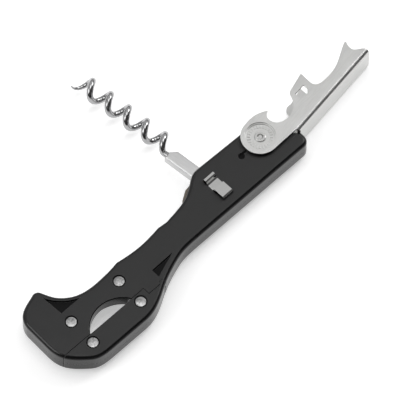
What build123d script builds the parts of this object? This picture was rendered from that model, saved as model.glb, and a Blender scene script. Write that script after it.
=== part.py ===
"""A waiters corkscrew with a hook-shaped handle, a hinged foil cutter and a two-step lever.

The tool lies flat, face up: +X runs along the handle towards the end of the open lever, +Y towards
the side that the worm swings out of, and +Z out of the front face. Every outline is drawn about the
lever's pivot, and heights are counted from the plane where the two handle shells meet.
"""

from build123d import *
import os
from math import pi

# ---------------------------------------------------------------- driving dimensions, mm

# Where the lever's pivot stands in the object's frame, whose origin is the middle of its underside
PIVOT_X = 32.33
PIVOT_Y = -21.62
MID_HEIGHT = 6.7

# Handle and jaw
HANDLE_THICKNESS = 10.4
FRONT_EDGE_RADIUS = 1.6
REAR_EDGE_RADIUS = 1.8
SEAM_GAP = 0.24
SEAM_Y = -16.0
STEP_X = -77.6
STEP_Y = -19.1
FACE_RECESS_DEPTH = 0.9
FACE_RECESS_SLOPE = 20
CHEEK_STEP = 0.3

# Lever, a sheet-steel channel that straddles the handle
LEVER_WIDTH = 13.4
SHEET = 0.95
BEND_RADIUS = 1.8
WEB_DROP = 1.4
EYE_RADIUS = 7.75
DISH_RADIUS = 6.2
DISH_DEPTH = 0.75
RING_RADIUS = 4.5
RING_BARS = 24
RING_HEIGHT = 0.2
LEDGE_WIDTH = 0.5
LEDGE_HEIGHT = 0.35
LEVER_RIVET_RADIUS = 1.6
BUSHING_RADIUS = 2.4
WEB_SLOPE = 8.2

# Foil cutter
AXLE_XS = (-107.4, -82.2)
AXLE_RADIUS = 1.5
AXLE_HEAD_RADIUS = 2.08
AXLE_HEAD_THICKNESS = 0.8
COUNTERBORE_RADIUS = 2.65
COUNTERBORE_DEPTH = 0.9
HANDLE_AXLE_Y = -7.2
JAW_AXLE_Y = -19.3
WHEEL_RADIUS = 5.4
WHEEL_THICKNESS = 0.8
NECK_CENTRE = (-94.8, -22.6)
MOUTH_STOP_RADIUS = 12.65
NECK_RADIUS = 15.0
JAW_HINGE = (-70.4, -19.2)
KNUCKLE_RADIUS = 1.2
HINGE_PIN_RADIUS = 0.5
HINGE_PIN_HALF = 4.2
TONGUE_HALF = 2.0

# Worm
WORM_LEAN = 6.5
WORM_FOLD = 79.5
WORM_PIVOT = (-26.1, -3.5)
WORM_PIN_RADIUS = 1.5
SHANK_WIDTH = 5.3
SHANK_THICKNESS = 4.5
SHANK_LENGTH = 24.6
COIL_OFFSET = 2.7
COIL_RADIUS = 3.15
COIL_START = 27.2
WIRE_RADIUS = 1.3
PITCH = 9.2
FULL_TURNS = 4.5
LINER_THICKNESS = 0.8

# Lever catch, a leaf spring in the front shell
CATCH_FOOT = (-26.6, 1.9)
CATCH_LEAN = 1.0
CATCH_WIDTH = 5.0
CATCH_LENGTH = 8.2
CATCH_SHEET = 0.45
CATCH_ROOM = 2.05

# Clearances
RUNNING = 0.05
FREE = 0.15

half_thickness = HANDLE_THICKNESS / 2
half_width = LEVER_WIDTH / 2
inner_half_width = half_width - SHEET
axle_centres = [(x, y) for y in (HANDLE_AXLE_Y, JAW_AXLE_Y) for x in AXLE_XS]
handle_axles, jaw_axles = axle_centres[:2], axle_centres[2:]
wheel_room = WHEEL_RADIUS + 0.5
wheel_slot_half = WHEEL_THICKNESS / 2 + 0.2
shank_room_half = SHANK_THICKNESS / 2 + FREE
liner_outer = shank_room_half + LINER_THICKNESS
coil_room_half = COIL_RADIUS + WIRE_RADIUS + FREE


def level(height):
    """The horizontal plane at this height over the shells' meeting plane, centred on the lever pivot."""
    return Plane(origin=(PIVOT_X, PIVOT_Y, MID_HEIGHT + height))


def finish(piece, name):
    """Labels a piece and writes it out under its own name."""
    piece.part.label = name
    export_step(piece.part, f"parts/{name}.step")


os.makedirs("parts", exist_ok=True)


# ---------------------------------------------------------------- outlines

# Handle and jaw together, at their widest
with BuildSketch(level(0)) as body_outline:
    with BuildLine():
        Line((13.3, -10.9), (13.3, -9.0))
        Line((13.3, -9.0), (7.3, -2.6))
        ThreePointArc((7.3, -2.6), (5.4, 5.1), (-1.5, 6.8))
        Line((-1.5, 6.8), (-24.5, 7.4))
        Spline(
            (-24.5, 7.4),
            (-29.5, 7.0),
            (-33.6, 4.6),
            (-38.0, 1.9),
            (-44.0, 0.1),
            (-50.0, -0.7),
            (-55.4, -0.45),
            tangents=((-1, 0.03), (-1, 0.12)),
        )
        Spline((-55.4, -0.45), (-66.0, -1.4), (-77.2, -0.3), tangents=((-1, -0.14), (-1, 0.16)))
        Spline(
            (-77.2, -0.3),
            (-88.0, -1.35),
            (-98.0, 0.1),
            (-104.3, 4.9),
            (-107.0, 10.2),
            tangents=((-1, -0.16), (-0.45, 1)),
        )
        ThreePointArc((-107.0, 10.2), (-108.5, 11.7), (-110.6, 11.6))
        Spline((-110.6, 11.6), (-117.0, 9.3), (-121.1, 3.0), tangents=((-1, -0.35), (-0.12, -1)))
        Line((-121.1, 3.0), (-121.4, -9.0))
        Spline(
            (-121.4, -9.0),
            (-119.6, -16.6),
            (-114.0, -22.7),
            (-103.0, -26.1),
            tangents=((0, -1), (1, 0)),
        )
        Line((-103.0, -26.1), (-86.0, -26.1))
        Spline(
            (-86.0, -26.1),
            (-77.0, -23.9),
            (-68.0, -19.1),
            (-59.0, -15.6),
            (-46.0, -14.2),
            tangents=((1, 0), (1, 0)),
        )
        Line((-46.0, -14.2), (10.0, -14.2))
        ThreePointArc((10.0, -14.2), (12.33, -13.23), (13.3, -10.9))
    make_face()


def below_seam(shift):
    """The area on the jaw's side of the seam, with the seam moved by this much into the handle."""
    corner_x, hinge_x = STEP_X + shift, JAW_HINGE[0]
    with BuildSketch(level(0)) as region:
        with BuildLine():
            Polyline(
                (-140, SEAM_Y + shift),
                (corner_x, SEAM_Y + shift),
                (corner_x, STEP_Y + shift),
                (hinge_x, STEP_Y + shift),
                (hinge_x, -40),
                (-140, -40),
                close=True,
            )
        make_face()
    return region.sketch


# What the worm's shank passes over between open and folded, with room at its sides
worm_open = 90 + WORM_LEAN
worm_folded = worm_open + WORM_FOLD
pivot = Vector(*WORM_PIVOT)
open_way = Vector(1, 0).rotate(Axis.Z, worm_open) * 26
fold_way = Vector(1, 0).rotate(Axis.Z, worm_folded) * 26
open_side = Vector(1, 0).rotate(Axis.Z, worm_open - 90) * (SHANK_WIDTH / 2 + FREE)
fold_side = Vector(1, 0).rotate(Axis.Z, worm_folded + 90) * (SHANK_WIDTH / 2 + FREE)

with BuildSketch(level(0)) as shank_room:
    with Locations(WORM_PIVOT):
        Circle(SHANK_WIDTH / 2 + FREE)
    with BuildLine():
        Polyline(
            pivot,
            pivot + open_side,
            pivot + open_side + open_way,
            pivot + open_way + fold_way,
            pivot + fold_side + fold_way,
            pivot + fold_side,
            close=True,
        )
    make_face()

# The steel plate on each side of the shank, which stands a little proud of the handle's shoulder
with BuildSketch(level(0)) as liner_outline:
    with BuildLine():
        Polyline(
            (-21.5, -7.6), (-21.5, 3.6), (-31.5, 5.0), (-36.2, 4.2), (-40.6, 1.4), (-42.0, -7.6),
            close=True,
        )
    make_face()
    fillet(liner_outline.vertices(), radius=1.5)

# The groove beside the worm's path that the folded coil lies in
with BuildSketch(level(0)) as coil_room:
    with Locations(Location((*WORM_PIVOT, 0), (0, 0, worm_folded))):
        with Locations((COIL_START - 7.5, -(COIL_OFFSET + coil_room_half + 10))):
            Rectangle(55.1, coil_room_half * 2 + 10, align=(Align.MIN, Align.MIN))


# ---------------------------------------------------------------- handle and jaw shells


def half_body(side):
    """One moulded half of handle and jaw together, with its outer edge rounded."""
    with BuildPart() as half:
        extrude(body_outline.sketch, amount=side * half_thickness)
        outer_face = half.faces().sort_by(Axis.Z)[-1 if side > 0 else 0]
        fillet(outer_face.edges(), radius=FRONT_EDGE_RADIUS if side > 0 else REAR_EDGE_RADIUS)
    return half.part


def handle_shell(side):
    """A handle shell, front (side 1) or rear (side -1), without what only one of them has."""
    with BuildPart() as shell:
        add(half_body(side))

        # The seam with the jaw, and the knuckle at its end
        extrude(below_seam(SEAM_GAP / 2), amount=side * (half_thickness + 1), mode=Mode.SUBTRACT)
        with BuildSketch(level(side * TONGUE_HALF)):
            with Locations(JAW_HINGE):
                Circle(KNUCKLE_RADIUS + FREE)
        extrude(amount=side * half_thickness, mode=Mode.SUBTRACT)
        with BuildSketch(level(0)):
            with Locations(JAW_HINGE):
                Circle(KNUCKLE_RADIUS)
        extrude(amount=side * (TONGUE_HALF - FREE))
        with BuildSketch(level(0)):
            with Locations(JAW_HINGE):
                Circle(HINGE_PIN_RADIUS + RUNNING)
        extrude(amount=side * TONGUE_HALF, mode=Mode.SUBTRACT)

        # The opening for a bottle's neck: the front shell's smaller arc stops the bottle's mouth
        with BuildSketch(level(0)):
            with Locations(NECK_CENTRE):
                Circle(MOUTH_STOP_RADIUS if side > 0 else NECK_RADIUS)
        extrude(amount=side * (half_thickness + 1), mode=Mode.SUBTRACT)

        # The slot that the cutting wheels turn in, open to the neck and to the jaw's own wheels
        with BuildSketch(level(0)):
            with Locations(*axle_centres):
                Circle(wheel_room)
            with Locations(NECK_CENTRE):
                Circle(NECK_RADIUS)
            with Locations((sum(AXLE_XS) / 2, -14.6)):
                Rectangle(AXLE_XS[1] - AXLE_XS[0] + 2 * wheel_room, 4.2)
        extrude(amount=side * wheel_slot_half, mode=Mode.SUBTRACT)

        # Axle holes and their counterbores
        with BuildSketch(level(0)):
            with Locations(*handle_axles):
                Circle(AXLE_RADIUS)
        extrude(amount=side * half_thickness, mode=Mode.SUBTRACT)
        with BuildSketch(level(side * (half_thickness - COUNTERBORE_DEPTH))):
            with Locations(*handle_axles):
                Circle(COUNTERBORE_RADIUS)
        extrude(amount=side * COUNTERBORE_DEPTH, mode=Mode.SUBTRACT)

        # The worm: room for its shank, a seat for the liner, and a trough for the folded coil
        extrude(shank_room.sketch, amount=side * shank_room_half, mode=Mode.SUBTRACT)
        extrude(liner_outline.sketch, amount=side * liner_outer, mode=Mode.SUBTRACT)
        extrude(coil_room.sketch, amount=side * coil_room_half, mode=Mode.SUBTRACT)

        # The lever's pivot: a step in the face under the cheek, a seat for the dished eye,
        # and the bushing's hole
        with BuildSketch(level(side * (half_thickness - CHEEK_STEP))):
            Circle(EYE_RADIUS + 0.9)
            with Locations((10, 0)):
                Rectangle(20, 2 * (EYE_RADIUS + 0.9))
        extrude(amount=side, mode=Mode.SUBTRACT)
        with BuildSketch(level(side * (half_thickness - DISH_DEPTH))):
            Circle(DISH_RADIUS + 0.5)
        extrude(amount=side, mode=Mode.SUBTRACT)
        with BuildSketch(level(0)):
            Circle(BUSHING_RADIUS)
        extrude(amount=side * half_thickness, mode=Mode.SUBTRACT)

        # Sunk decoration in the face: a curved triangle in the hook and a wedge at the waist
        with BuildSketch(level(side * half_thickness)):
            with BuildLine():
                Line((-108.4, 8.0), (-107.8, -2.1))
                Line((-107.8, -2.1), (-97.6, -2.1))
                ThreePointArc((-97.6, -2.1), (-104.2, 2.0), (-108.4, 8.0))
            make_face()
            with BuildLine():
                Polyline((-70.0, -12.6), (-70.0, -16.6), (-58.4, -12.4), close=True)
            make_face()
        extrude(amount=-side * FACE_RECESS_DEPTH, taper=FACE_RECESS_SLOPE, mode=Mode.SUBTRACT)

        # A small bevel round the neck opening's mouth
        if side > 0:
            face_edges = shell.edges().filter_by(GeomType.CIRCLE).group_by(Axis.Z)[-1]
            mouth = face_edges.filter_by(lambda edge: abs(edge.radius - MOUTH_STOP_RADIUS) < 0.01)
            chamfer(mouth, length=0.35)
    return shell.part


def jaw_shell(side):
    """A shell of the foil cutter's jaw, front (side 1) or rear (side -1)."""
    with BuildPart() as shell:
        add(half_body(side))
        with BuildPart(mode=Mode.PRIVATE) as keep:
            extrude(below_seam(-SEAM_GAP / 2), amount=side * half_thickness)
            with BuildSketch(level(0)):
                with Locations(JAW_HINGE):
                    Circle(KNUCKLE_RADIUS)
            extrude(amount=side * half_thickness)
        add(keep.part, mode=Mode.INTERSECT)

        # The handle's tongue stands between the two knuckles, and the pin is pressed into them
        with BuildSketch(level(0)):
            with Locations(JAW_HINGE):
                Circle(KNUCKLE_RADIUS + FREE)
        extrude(amount=side * TONGUE_HALF, mode=Mode.SUBTRACT)
        with BuildSketch(level(0)):
            with Locations(JAW_HINGE):
                Circle(HINGE_PIN_RADIUS)
        extrude(amount=side * HINGE_PIN_HALF, mode=Mode.SUBTRACT)

        # Wheel slot, axle holes and counterbores
        with BuildSketch(level(0)):
            with Locations(*jaw_axles):
                Circle(wheel_room)
        extrude(amount=side * wheel_slot_half, mode=Mode.SUBTRACT)
        with BuildSketch(level(0)):
            with Locations(*jaw_axles):
                Circle(AXLE_RADIUS)
        extrude(amount=side * half_thickness, mode=Mode.SUBTRACT)
        with BuildSketch(level(side * (half_thickness - COUNTERBORE_DEPTH))):
            with Locations(*jaw_axles):
                Circle(COUNTERBORE_RADIUS)
        extrude(amount=side * COUNTERBORE_DEPTH, mode=Mode.SUBTRACT)
    return shell.part


# The front shell also has the lever catch's opening and the small keyhole beside the eye
with BuildPart() as handle_front_shell:
    add(handle_shell(1))
    with BuildSketch(level(half_thickness - CATCH_ROOM)):
        with Locations(Location((*CATCH_FOOT, 0), (0, 0, CATCH_LEAN))):
            Rectangle(CATCH_WIDTH + 0.4, CATCH_LENGTH, align=(Align.CENTER, Align.MAX))
    extrude(amount=CATCH_ROOM, mode=Mode.SUBTRACT)
    with BuildSketch(level(half_thickness - 0.9)):
        with Locations((-10.8, -0.8)):
            Circle(1.4)
        with Locations((-9.0, -0.2)):
            Rectangle(3.0, 0.9)
    extrude(amount=1, mode=Mode.SUBTRACT)
finish(handle_front_shell, "handle_front_shell")

with BuildPart() as handle_rear_shell:
    add(handle_shell(-1))
finish(handle_rear_shell, "handle_rear_shell")

with BuildPart() as jaw_front_shell:
    add(jaw_shell(1))
finish(jaw_front_shell, "jaw_front_shell")

with BuildPart() as jaw_rear_shell:
    add(jaw_shell(-1))
finish(jaw_rear_shell, "jaw_rear_shell")

with BuildPart() as jaw_hinge_pin:
    with BuildSketch(level(-HINGE_PIN_HALF)):
        with Locations(JAW_HINGE):
            Circle(HINGE_PIN_RADIUS)
    extrude(amount=2 * HINGE_PIN_HALF)
    chamfer(jaw_hinge_pin.edges().filter_by(GeomType.CIRCLE), length=0.15)
finish(jaw_hinge_pin, "jaw_hinge_pin")


# ---------------------------------------------------------------- foil cutter

# Riveted axles with domed heads, and the hardened wheels that turn on them
axle_names = ("hook_axle", "waist_axle", "jaw_outer_axle", "jaw_inner_axle")
wheel_names = (
    "hook_cutting_wheel",
    "waist_cutting_wheel",
    "jaw_outer_cutting_wheel",
    "jaw_inner_cutting_wheel",
)
head_seat = half_thickness - COUNTERBORE_DEPTH

for name, (x, y) in zip(axle_names, axle_centres):
    axle_plane = Plane(origin=(PIVOT_X + x, PIVOT_Y + y, MID_HEIGHT), x_dir=(1, 0, 0), z_dir=(0, -1, 0))
    top = head_seat + AXLE_HEAD_THICKNESS
    with BuildPart() as axle:
        with BuildSketch(axle_plane):
            with BuildLine() as profile:
                TangentArc((0, top), (AXLE_HEAD_RADIUS, top - 0.15), tangent=(1, 0))
                Line((AXLE_HEAD_RADIUS, top - 0.15), (AXLE_HEAD_RADIUS, head_seat))
                Line((AXLE_HEAD_RADIUS, head_seat), (AXLE_RADIUS, head_seat))
                Line((AXLE_RADIUS, head_seat), (AXLE_RADIUS, 0))
                mirror(profile.line, about=Plane.XZ)
                Line((0, -top), (0, top))
            make_face()
        revolve(axis=Axis(axle_plane.origin, (0, 0, 1)))
    finish(axle, name)

for name, (x, y) in zip(wheel_names, axle_centres):
    wheel_plane = Plane(origin=(PIVOT_X + x, PIVOT_Y + y, MID_HEIGHT), x_dir=(1, 0, 0), z_dir=(0, -1, 0))
    with BuildPart() as wheel:
        with BuildSketch(wheel_plane):
            with BuildLine():
                Polyline(
                    (AXLE_RADIUS + RUNNING, -WHEEL_THICKNESS / 2),
                    (WHEEL_RADIUS - 1.1, -WHEEL_THICKNESS / 2),
                    (WHEEL_RADIUS, -0.05),
                    (WHEEL_RADIUS, 0.05),
                    (WHEEL_RADIUS - 1.1, WHEEL_THICKNESS / 2),
                    (AXLE_RADIUS + RUNNING, WHEEL_THICKNESS / 2),
                    close=True,
                )
            make_face()
        revolve(axis=Axis(wheel_plane.origin, (0, 0, 1)))
    finish(wheel, name)


# ---------------------------------------------------------------- worm

worm_plane = Plane(
    origin=(PIVOT_X + WORM_PIVOT[0], PIVOT_Y + WORM_PIVOT[1], MID_HEIGHT),
    x_dir=Vector(1, 0).rotate(Axis.Z, worm_open - 90),
    z_dir=(0, 0, 1),
)

# The coil stands beside the shank's line: the wire leaves the shank along it and bends into the turns
coil_plane = Plane(
    origin=worm_plane.from_local_coords((COIL_OFFSET, COIL_START, 0)),
    x_dir=worm_plane.x_dir * -1,
    z_dir=worm_plane.y_dir,
)
coil = coil_plane * Helix(PITCH, PITCH * FULL_TURNS, COIL_RADIUS)
coil_way = coil % 0
wire_foot = worm_plane.from_local_coords((COIL_OFFSET - COIL_RADIUS, SHANK_LENGTH - 4, 0))
wire_exit = wire_foot + worm_plane.y_dir * 4
with BuildLine() as lead:
    Line(wire_foot, wire_exit)
    Spline(wire_exit, coil @ 0, tangents=(worm_plane.y_dir, coil_way))

# A sheet folded into a flat sleeve round the end of the wire, with an eye for the pivot pin
with BuildPart() as worm_shank:
    with BuildSketch(worm_plane.offset(-SHANK_THICKNESS / 2)):
        Circle(SHANK_WIDTH / 2)
        with BuildLine():
            Polyline(
                (-SHANK_WIDTH / 2, 0),
                (-SHANK_WIDTH / 2, SHANK_LENGTH),
                (0.4, SHANK_LENGTH),
                (SHANK_WIDTH / 2, SHANK_LENGTH - 2.4),
                (SHANK_WIDTH / 2, 0),
                close=True,
            )
        make_face()
    extrude(amount=SHANK_THICKNESS)
    fillet(worm_shank.edges().filter_by(Axis.Z, reverse=True), radius=0.6)
    with BuildSketch(worm_plane.offset(-SHANK_THICKNESS / 2)):
        Circle(WORM_PIN_RADIUS + RUNNING)
    extrude(amount=SHANK_THICKNESS, mode=Mode.SUBTRACT)
    with BuildSketch(Plane(origin=wire_foot, z_dir=worm_plane.y_dir)):
        Circle(WIRE_RADIUS)
    extrude(amount=6, mode=Mode.SUBTRACT)
finish(worm_shank, "worm_shank")


def tip_section(turn):
    """Where the wire's middle is, and which way it runs, this far into the tapered last half turn."""
    angle = 360 * (FULL_TURNS + turn)
    rise = PITCH * (FULL_TURNS + turn)
    spread = COIL_RADIUS + 2.6 * turn * turn
    middle = Vector(spread, 0, rise).rotate(Axis.Z, angle)
    way = Vector(0, 1, PITCH / (2 * pi * COIL_RADIUS)).rotate(Axis.Z, angle)
    to_world = coil_plane.from_local_coords
    return Plane(origin=to_world(middle), z_dir=to_world(way) - coil_plane.origin)


with BuildPart() as worm_screw:
    with BuildSketch(Plane(origin=wire_foot, z_dir=worm_plane.y_dir)):
        Circle(WIRE_RADIUS)
    sweep(path=lead.line)
    with BuildSketch(Plane(origin=coil @ 0, z_dir=coil_way)):
        Circle(WIRE_RADIUS)
    sweep(path=coil, is_frenet=True)
    for step in range(7):
        share = step / 6
        with BuildSketch(tip_section(0.5 * share)):
            Circle(WIRE_RADIUS - (WIRE_RADIUS - 0.25) * share**1.5)
    loft()
finish(worm_screw, "worm_screw")

with BuildPart() as worm_pivot_pin:
    with BuildSketch(worm_plane.offset(-liner_outer)):
        Circle(WORM_PIN_RADIUS)
    extrude(amount=2 * liner_outer)
finish(worm_pivot_pin, "worm_pivot_pin")

for side, name in ((1, "worm_liner_front"), (-1, "worm_liner_rear")):
    with BuildPart() as liner:
        extrude(liner_outline.sketch, amount=side * liner_outer)
        with BuildSketch(level(0)):
            Rectangle(200, 60)
        extrude(amount=side * shank_room_half, mode=Mode.SUBTRACT)
        with BuildSketch(level(0)):
            with Locations(WORM_PIVOT):
                Circle(WORM_PIN_RADIUS)
        extrude(amount=side * liner_outer, mode=Mode.SUBTRACT)
    finish(liner, name)


# ---------------------------------------------------------------- lever

web_way = Vector(1, 0).rotate(Axis.Z, WEB_SLOPE)
web_down = Vector(1, 0).rotate(Axis.Z, WEB_SLOPE - 90)
fold_start = Vector(12.1, -7.4)
fold_end = fold_start + web_way * 44.9
web_outer_start = fold_start + web_down * WEB_DROP + web_way * 1.2
web_outer_end = fold_end + web_down * WEB_DROP

# The side view of the channel: round eye, cap-lifting tooth and notch, first step, long arc and tip
with BuildSketch(level(-half_width)) as cheek_outline:
    with BuildLine():
        Line(web_outer_end, web_outer_start)
        Line(web_outer_start, fold_start)
        Line(fold_start, (0.4, -7.74))
        ThreePointArc((0.4, -7.74), (-7.75, 0), (-1.35, 7.63))
        Spline((-1.35, 7.63), (4.9, 7.95), (9.9, 6.0), tangents=((1, 0.18), (1, -0.6)))
        Line((9.9, 6.0), (8.9, 5.4))
        Spline(
            (8.9, 5.4),
            (7.5, 2.8),
            (8.9, -0.3),
            (12.3, -1.5),
            (16.8, -0.6),
            (19.5, 1.7),
            (20.9, 4.8),
        )
        ThreePointArc((20.9, 4.8), (21.7, 5.95), (22.9, 6.5))
        Line((22.9, 6.5), (30.5, 8.9))
        Line((30.5, 8.9), (30.5, 3.2))
        Spline(
            (30.5, 3.2),
            (31.6, 1.3),
            (35.6, 0.6),
            (42.4, 1.8),
            (47.8, 4.6),
            (52.0, 6.9),
        )
        ThreePointArc((52.0, 6.9), (52.7, 6.85), (52.8, 6.2))
        Spline(
            (52.8, 6.2),
            (52.3, 4.2),
            (52.6, 2.5),
            (54.4, 1.0),
            (56.5, -0.8),
        )
        Line((56.5, -0.8), web_outer_end)
    make_face()

with BuildPart() as lever:
    extrude(cheek_outline.sketch, amount=LEVER_WIDTH)
    web_edges = lever.edges().filter_by(Axis((0, 0, 0), (web_way.X, web_way.Y, 0)))
    fillet(web_edges.sort_by(Axis.Y)[:2], radius=BEND_RADIUS)

    # The channel's inside, above the web
    with BuildSketch(level(-inner_half_width)):
        with BuildLine():
            inside_start = fold_start + web_down * (WEB_DROP - SHEET) - web_way * 30
            inside_end = fold_end + web_down * (WEB_DROP - SHEET) + web_way * 10
            Polyline(
                inside_start, inside_end, inside_end - web_down * 25, inside_start - web_down * 40,
                close=True,
            )
        make_face()
    extrude(amount=2 * inner_half_width, mode=Mode.SUBTRACT)

    # Round the pivot each cheek is dished inwards, with a ledge round the dish and raised bars on
    # its floor
    for side in (1, -1):
        with BuildSketch(level(side * (inner_half_width - DISH_DEPTH + 0.1))):
            Circle(DISH_RADIUS)
        extrude(amount=side * (DISH_DEPTH - 0.05))
        with BuildSketch(level(side * half_width)):
            Circle(DISH_RADIUS - 0.1)
        extrude(amount=-side * DISH_DEPTH, mode=Mode.SUBTRACT)
        with BuildSketch(level(side * (half_width - DISH_DEPTH))):
            with PolarLocations(RING_RADIUS, RING_BARS):
                Rectangle(1.3, 0.55)
        extrude(amount=side * RING_HEIGHT)
        with BuildSketch(level(side * (half_width - DISH_DEPTH))):
            Circle(DISH_RADIUS - 0.1)
            Circle(DISH_RADIUS - 0.1 - LEDGE_WIDTH, mode=Mode.SUBTRACT)
        extrude(amount=side * LEDGE_HEIGHT)
    with BuildSketch(level(-half_width)):
        Circle(LEVER_RIVET_RADIUS + RUNNING)
    extrude(amount=LEVER_WIDTH, mode=Mode.SUBTRACT)

    # The rear cheek reaches a little further into the cap-lifting notch than the front one
    with BuildSketch(level(-half_width)):
        with BuildLine():
            Spline((15.0, -1.2), (17.6, 0.6), (18.9, 4.2))
            ThreePointArc((18.9, 4.2), (20.2, 6.1), (22.9, 6.5))
            Line((22.9, 6.5), (22.9, -1.2))
            Line((22.9, -1.2), (15.0, -1.2))
        make_face()
    extrude(amount=SHEET)

    # The window that drops over the catch
    with BuildSketch(level(-half_width)):
        with BuildLine():
            Polyline(
                (22.5, 3.9), (27.7, 4.6), (27.8, 2.5), (26.4, 0.9), (23.9, 0.8), (22.6, 2.0),
                close=True,
            )
        make_face()
    extrude(amount=LEVER_WIDTH, mode=Mode.SUBTRACT)
finish(lever, "lever")

# A tubular rivet, its ends rolled over the dished cheeks and punched with a centre dimple
rivet_seat = half_width - DISH_DEPTH + 0.02
with BuildPart() as lever_rivet:
    with BuildSketch(level(-rivet_seat)):
        Circle(LEVER_RIVET_RADIUS)
    extrude(amount=2 * rivet_seat)
    for side in (1, -1):
        with BuildSketch(level(side * rivet_seat)):
            Circle(2.3)
        extrude(amount=side * 0.45)
    fillet(lever_rivet.edges().filter_by(GeomType.CIRCLE).group_by(Axis.Z)[0], radius=0.3)
    fillet(lever_rivet.edges().filter_by(GeomType.CIRCLE).group_by(Axis.Z)[-1], radius=0.3)
    for side in (1, -1):
        with BuildSketch(level(side * (rivet_seat + 0.45))):
            Circle(1.2)
        extrude(amount=-side * 0.6, taper=30, mode=Mode.SUBTRACT)
finish(lever_rivet, "lever_rivet")

with BuildPart() as lever_bushing:
    bushing_half = half_thickness - DISH_DEPTH
    with BuildSketch(level(-bushing_half)):
        Circle(BUSHING_RADIUS)
        Circle(LEVER_RIVET_RADIUS + RUNNING, mode=Mode.SUBTRACT)
    extrude(amount=2 * bushing_half)
finish(lever_bushing, "lever_bushing")

# A bent leaf: its foot lies under the face, its roll snaps into the lever's window, and the raised
# pad at its free end is pressed to let the lever go
catch_plane = Plane(
    origin=(PIVOT_X + CATCH_FOOT[0], PIVOT_Y + CATCH_FOOT[1], MID_HEIGHT + half_thickness),
    x_dir=Vector(0, -1).rotate(Axis.Z, CATCH_LEAN),
    z_dir=Vector(-1, 0).rotate(Axis.Z, CATCH_LEAN),
)
with BuildPart() as lever_catch:
    with BuildSketch(catch_plane):
        with BuildLine() as leaf:
            Polyline(
                (7.4, -1.75), (0.7, -1.75), (0.4, 1.2), (0.7, 1.6), (1.5, 1.6), (1.9, 1.2),
                (2.3, 0.4), (3.0, -0.2), (5.9, -0.2), (6.4, 1.3), (10.9, 1.4), (11.4, 1.1),
                (11.6, 0.35),
            )
        trace(leaf.line, line_width=CATCH_SHEET)
    extrude(amount=CATCH_WIDTH / 2, both=True)
finish(lever_catch, "lever_catch")
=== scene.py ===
"""Looks, light and camera for the waiters corkscrew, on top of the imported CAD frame."""

import math

import bpy
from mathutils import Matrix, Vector

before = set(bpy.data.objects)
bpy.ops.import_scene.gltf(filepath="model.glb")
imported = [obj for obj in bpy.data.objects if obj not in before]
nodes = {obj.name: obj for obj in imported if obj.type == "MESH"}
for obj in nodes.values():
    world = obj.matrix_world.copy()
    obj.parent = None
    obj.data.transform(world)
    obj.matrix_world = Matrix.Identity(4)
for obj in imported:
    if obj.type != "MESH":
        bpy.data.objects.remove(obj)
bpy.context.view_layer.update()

# The lever's pivot in the row frame, in metres, and the face's height over it and the depth of the
# decoration sunk into the face, in millimetres
MM = 0.001
PIVOT = Vector((32.33, -21.62, 6.7)) * MM
FACE = 5.2
RECESS = 0.9


def at(x, y, height):
    """A point given from the lever's pivot, in millimetres, as metres in the row frame."""
    return PIVOT + Vector((x, y, height)) * MM


# ---------------------------------------------------------------- materials


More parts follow.
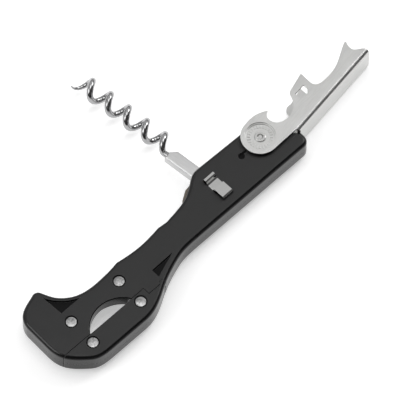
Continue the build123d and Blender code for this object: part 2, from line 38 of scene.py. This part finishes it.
class Surface:
    """A material under construction: its node tree, with short ways to add the usual nodes."""

    def __init__(self, name, colour, metallic, roughness):
        self.material = bpy.data.materials.new(name)
        self.material.use_nodes = True
        self.tree = self.material.node_tree
        self.shader = self.tree.nodes["Principled BSDF"]
        self.shader.inputs["Base Color"].default_value = (*colour, 1)
        self.shader.inputs["Metallic"].default_value = metallic
        self.shader.inputs["Roughness"].default_value = roughness
        self.place = self.add("ShaderNodeTexCoord").outputs["Object"]
        self.height = None

    def add(self, kind, **values):
        node = self.tree.nodes.new(kind)
        for key, value in values.items():
            setattr(node, key, value)
        return node

    def link(self, start, end):
        self.tree.links.new(start, end)

    def stretch(self, scale, turn=0.0):
        """Coordinates scaled per metre along each axis, turned about Z first."""
        mapping = self.add("ShaderNodeMapping", vector_type="TEXTURE")
        mapping.inputs["Rotation"].default_value = (0, 0, turn)
        mapping.inputs["Scale"].default_value = tuple(1 / value for value in scale)
        self.link(self.place, mapping.inputs["Vector"])
        return mapping.outputs["Vector"]

    def noise(self, coordinates, scale=1.0, detail=3.0, roughness=0.5):
        node = self.add("ShaderNodeTexNoise")
        node.inputs["Scale"].default_value = scale
        node.inputs["Detail"].default_value = detail
        node.inputs["Roughness"].default_value = roughness
        self.link(coordinates, node.inputs["Vector"])
        return node.outputs["Fac"]

    def spread(self, value, low, high, start=0.3, end=0.7):
        """value between start and end, spread over low to high."""
        node = self.add("ShaderNodeMapRange")
        node.inputs["From Min"].default_value = start
        node.inputs["From Max"].default_value = end
        node.inputs["To Min"].default_value = low
        node.inputs["To Max"].default_value = high
        self.link(value, node.inputs["Value"])
        return node.outputs["Result"]

    def mix_colour(self, share, first, second):
        """A colour between two others, each a fixed colour or another node's output."""
        node = self.add("ShaderNodeMix", data_type="RGBA")
        self.link(share, node.inputs[0])
        for socket, colour in ((6, first), (7, second)):
            if isinstance(colour, tuple):
                node.inputs[socket].default_value = (*colour, 1)
            else:
                self.link(colour, node.inputs[socket])
        return node.outputs[2]

    def bump(self, value, depth_mm, strength=1.0):
        node = self.add("ShaderNodeBump")
        node.inputs["Strength"].default_value = strength
        node.inputs["Distance"].default_value = depth_mm * MM
        self.link(value, node.inputs["Height"])
        if self.height is not None:
            self.link(self.height, node.inputs["Normal"])
        self.height = node.outputs["Normal"]
        self.link(self.height, self.shader.inputs["Normal"])

    def rounded(self, radius_mm):
        """Softens every hard edge's shading by this radius, so that it catches the light."""
        node = self.add("ShaderNodeBevel", samples=6)
        node.inputs["Radius"].default_value = radius_mm * MM
        self.height = node.outputs["Normal"]
        self.link(self.height, self.shader.inputs["Normal"])

    def edges(self, radius_mm):
        """How near a hard edge each point is: 0 on the flats, 1 on the edge itself."""
        soft = self.add("ShaderNodeBevel", samples=6)
        soft.inputs["Radius"].default_value = radius_mm * MM
        flat = self.add("ShaderNodeNewGeometry")
        likeness = self.add("ShaderNodeVectorMath", operation="DOT_PRODUCT")
        self.link(soft.outputs["Normal"], likeness.inputs[0])
        self.link(flat.outputs["Normal"], likeness.inputs[1])
        return self.spread(likeness.outputs["Value"], 1.0, 0.0, 0.8, 0.99)

    def at_height(self, height, half_band_mm):
        """1 within a thin band about this height of the object, in metres, and 0 elsewhere."""
        place = self.add("ShaderNodeSeparateXYZ")
        self.link(self.place, place.inputs["Vector"])
        band = self.add("ShaderNodeMath", operation="COMPARE")
        band.inputs[1].default_value = height
        band.inputs[2].default_value = half_band_mm * MM
        self.link(place.outputs["Z"], band.inputs[0])
        return band.outputs["Value"]

    def mix_value(self, share, first, second):
        """A number between two others, each a fixed number or another node's output."""
        node = self.add("ShaderNodeMix", data_type="FLOAT")
        self.link(share, node.inputs["Factor"])
        for socket, value in (("A", first), ("B", second)):
            if isinstance(value, float):
                node.inputs[socket].default_value = value
            else:
                self.link(value, node.inputs[socket])
        return node.outputs["Result"]


def moulded_plastic():
    """Black plastic with a fine texture, rubbed in places, glossier flanks, a painted highlight on
    hard edges and painted shade on recess floors.
    """
    s = Surface("black plastic", (0.005, 0.005, 0.0052), 0.0, 0.42)
    s.rounded(0.32)
    rub = s.noise(s.stretch((140, 140, 140)), detail=4)
    grain = s.noise(s.stretch((3800, 3800, 3800)), detail=2)
    edge = s.edges(0.3)
    sunk = s.at_height(PIVOT.z + (FACE - RECESS) * MM, 0.12)
    tilt = s.add("ShaderNodeSeparateXYZ")
    s.link(s.add("ShaderNodeNewGeometry").outputs["Normal"], tilt.inputs["Vector"])
    flank = s.spread(tilt.outputs["Z"], 1.0, 0.0, 0.9, 0.995)
    flanks = s.mix_value(flank, s.spread(rub, 0.38, 0.48), 0.2)
    s.link(s.mix_value(edge, flanks, 0.22), s.shader.inputs["Roughness"])
    s.shader.inputs["Specular IOR Level"].default_value = 0.4
    # Recess floors get a dark specular tint of 0.15: painted shade that dims their reflection.
    s.link(s.mix_colour(sunk, (1, 1, 1), (0.15, 0.15, 0.15)), s.shader.inputs["Specular Tint"])
    dull = s.mix_colour(s.spread(rub, 0.0, 1.0), (0.004, 0.004, 0.0042), (0.006, 0.006, 0.0062))
    # Hard edges are lightened to grey 0.1 in the base colour: a painted highlight along the rims.
    s.link(s.mix_colour(edge, dull, (0.1, 0.1, 0.1)), s.shader.inputs["Base Color"])
    s.bump(s.at_height(PIVOT.z, 0.07), -0.06)
    s.bump(grain, 0.012, 0.6)
    return s.material


def brushed_steel(name, colour, roughness, along=0.0, bevel=0.08, depth=0.003, patchy=0.02,
                  grain_size=(220, 5200, 5200), darkest=0.86):
    """Sheet steel with a fine grain along one direction, faint scratches and handling marks."""
    s = Surface(name, colour, 1.0, roughness)
    s.rounded(bevel)
    grain = s.noise(s.stretch(grain_size, along), detail=3)
    marks = s.noise(s.stretch((170, 170, 170)), detail=5, roughness=0.6)
    low, high = roughness - patchy, roughness + patchy
    s.link(s.spread(marks, low, high), s.shader.inputs["Roughness"])
    darker = tuple(value * darkest for value in colour)
    s.link(s.mix_colour(s.spread(grain, 0.0, 1.0), darker, colour), s.shader.inputs["Base Color"])
    s.bump(grain, depth, 0.7)
    return s.material


def polished(name, colour, roughness, bevel=0.05):
    """Bright plating with faint haze and fine orange peel."""
    s = Surface(name, colour, 1.0, roughness)
    s.rounded(bevel)
    haze = s.noise(s.stretch((260, 260, 260)), detail=4)
    peel = s.noise(s.stretch((1400, 1400, 1400)), detail=2)
    s.link(s.spread(haze, roughness * 0.7, roughness * 1.6), s.shader.inputs["Roughness"])
    s.bump(peel, 0.006, 0.5)
    return s.material


slope = math.radians(8.2)
plastic = moulded_plastic()
lever_steel = brushed_steel("lever steel", (0.63, 0.63, 0.62), 0.3, along=slope)
shank_steel = brushed_steel("shank steel", (0.6, 0.6, 0.6), 0.3, along=math.radians(96.5))
liner_steel = brushed_steel("liner steel", (0.13, 0.115, 0.1), 0.38)
catch_steel = polished("catch steel", (0.7, 0.7, 0.69), 0.08)
axle_steel = brushed_steel(
    "axle steel", (0.42, 0.42, 0.42), 0.32, depth=0.02, patchy=0.1, grain_size=(1100, 1100, 1100),
    darkest=0.4,
)
wheel_steel = brushed_steel("wheel steel", (0.5, 0.5, 0.51), 0.25)
rivet_steel = brushed_steel("rivet steel", (0.58, 0.58, 0.57), 0.28)
bushing_steel = brushed_steel("bushing steel", (0.55, 0.55, 0.55), 0.3)
pin_steel = brushed_steel("pin steel", (0.5, 0.5, 0.5), 0.3)
worm_chrome = polished("worm chrome", (0.42, 0.42, 0.425), 0.16)

finish_of = {
    "handle_front_shell": plastic,
    "handle_rear_shell": plastic,
    "jaw_front_shell": plastic,
    "jaw_rear_shell": plastic,
    "jaw_hinge_pin": pin_steel,
    "worm_pivot_pin": pin_steel,
    "worm_screw": worm_chrome,
    "worm_shank": shank_steel,
    "worm_liner_front": liner_steel,
    "worm_liner_rear": liner_steel,
    "lever": lever_steel,
    "lever_rivet": rivet_steel,
    "lever_bushing": bushing_steel,
    "lever_catch": catch_steel,
}
for name, node in nodes.items():
    if name.endswith("_axle"):
        material = axle_steel
    elif name.endswith("_wheel"):
        material = wheel_steel
    else:
        material = finish_of[name]
    for material_slot in node.material_slots:
        material_slot.material = material


# ---------------------------------------------------------------- floor and light

bpy.ops.mesh.primitive_plane_add(size=4.0, location=(0, 0, 0))
floor = bpy.context.object
floor.name = "floor"
floor_surface = Surface("floor paper", (0.86, 0.86, 0.86), 0.0, 0.75)
floor_grain = floor_surface.noise(floor_surface.stretch((60, 60, 60)), detail=5)
floor_surface.link(
    floor_surface.mix_colour(
        floor_surface.spread(floor_grain, 0.0, 1.0), (0.85, 0.85, 0.85), (0.87, 0.87, 0.87)
    ),
    floor_surface.shader.inputs["Base Color"],
)
floor_surface.shader.inputs["Emission Color"].default_value = (1, 1, 1, 1)
floor_surface.shader.inputs["Emission Strength"].default_value = 0.45
floor.data.materials.append(floor_surface.material)

# A light tent, open and dark towards the near left corner where its front is
world = bpy.data.worlds.new("studio")
bpy.context.scene.world = world
world.use_nodes = True
sky = world.node_tree
direction = sky.nodes.new("ShaderNodeTexCoord").outputs["Generated"]
towards_front = sky.nodes.new("ShaderNodeVectorMath")
towards_front.operation = "DOT_PRODUCT"
towards_front.inputs[1].default_value = (-0.30, -0.95, 0.0)
sky.links.new(direction, towards_front.inputs[0])
ramp = sky.nodes.new("ShaderNodeValToRGB")
stops = ramp.color_ramp.elements
stops[0].color, stops[-1].color = (1, 1, 1, 1), (0.1, 0.1, 0.1, 1)
for position, grey in ((0.25, 0.85), (0.45, 0.45), (0.7, 0.12)):
    stops.new(position).color = (grey, grey, grey, 1)
shift = sky.nodes.new("ShaderNodeMapRange")
shift.inputs["From Min"].default_value = -1.0
shift.inputs["From Max"].default_value = 1.0
sky.links.new(towards_front.outputs["Value"], shift.inputs["Value"])
sky.links.new(shift.outputs["Result"], ramp.inputs["Fac"])
axes = sky.nodes.new("ShaderNodeSeparateXYZ")
sky.links.new(direction, axes.inputs["Vector"])
horizon = sky.nodes.new("ShaderNodeMapRange")
horizon.inputs["From Min"].default_value = 0.1
horizon.inputs["From Max"].default_value = 0.3
horizon.inputs["To Min"].default_value = 0.1
sky.links.new(axes.outputs["Z"], horizon.inputs["Value"])
dimmed = sky.nodes.new("ShaderNodeVectorMath")
dimmed.operation = "SCALE"
sky.links.new(ramp.outputs["Color"], dimmed.inputs[0])
sky.links.new(horizon.outputs["Result"], dimmed.inputs["Scale"])
sky.links.new(dimmed.outputs["Vector"], sky.nodes["Background"].inputs["Color"])
sky.nodes["Background"].inputs["Strength"].default_value = 0.75


def softbox(name, azimuth, elevation, distance, width, height, power):
    """An area light that faces the object, at this azimuth and elevation from it."""
    light = bpy.data.lights.new(name, "AREA")
    light.shape = "RECTANGLE"
    light.size = width
    light.size_y = height
    light.energy = power
    lamp = bpy.data.objects.new(name, light)
    bpy.context.collection.objects.link(lamp)
    a, e = math.radians(azimuth), math.radians(elevation)
    way = Vector((math.sin(a) * math.cos(e), -math.cos(a) * math.cos(e), math.sin(e)))
    lamp.location = Vector((0, -0.01, 0)) + way * distance
    lamp.rotation_euler = way.to_track_quat("Z", "Y").to_euler()


softbox("overhead softbox", 136, 84, 0.9, 0.45, 0.45, 1.6)
softbox("left softbox", -110, 40, 0.9, 0.5, 0.5, 2.2)
softbox("right softbox", 88, 44, 0.9, 0.35, 0.35, 2.6)
bpy.context.scene.view_settings.view_transform = "Standard"


# ---------------------------------------------------------------- camera

AZIMUTH = math.radians(-43.75)
ELEVATION = math.radians(62.8)
DISTANCE = 3.0
WIDTH = 0.1544

camera_data = bpy.data.cameras.new("camera")
camera = bpy.data.objects.new("camera", camera_data)
bpy.context.collection.objects.link(camera)
camera_data.sensor_width = 36.0
camera_data.lens = 36.0 * DISTANCE / WIDTH
target = at(-35.6, -3.45, FACE)
back = Vector(
    (
        math.sin(AZIMUTH) * math.cos(ELEVATION),
        -math.cos(AZIMUTH) * math.cos(ELEVATION),
        math.sin(ELEVATION),
    )
)
camera.location = target + back * DISTANCE
camera.rotation_euler = back.to_track_quat("Z", "Y").to_euler()
camera_data.clip_start = 0.01
bpy.context.scene.camera = camera
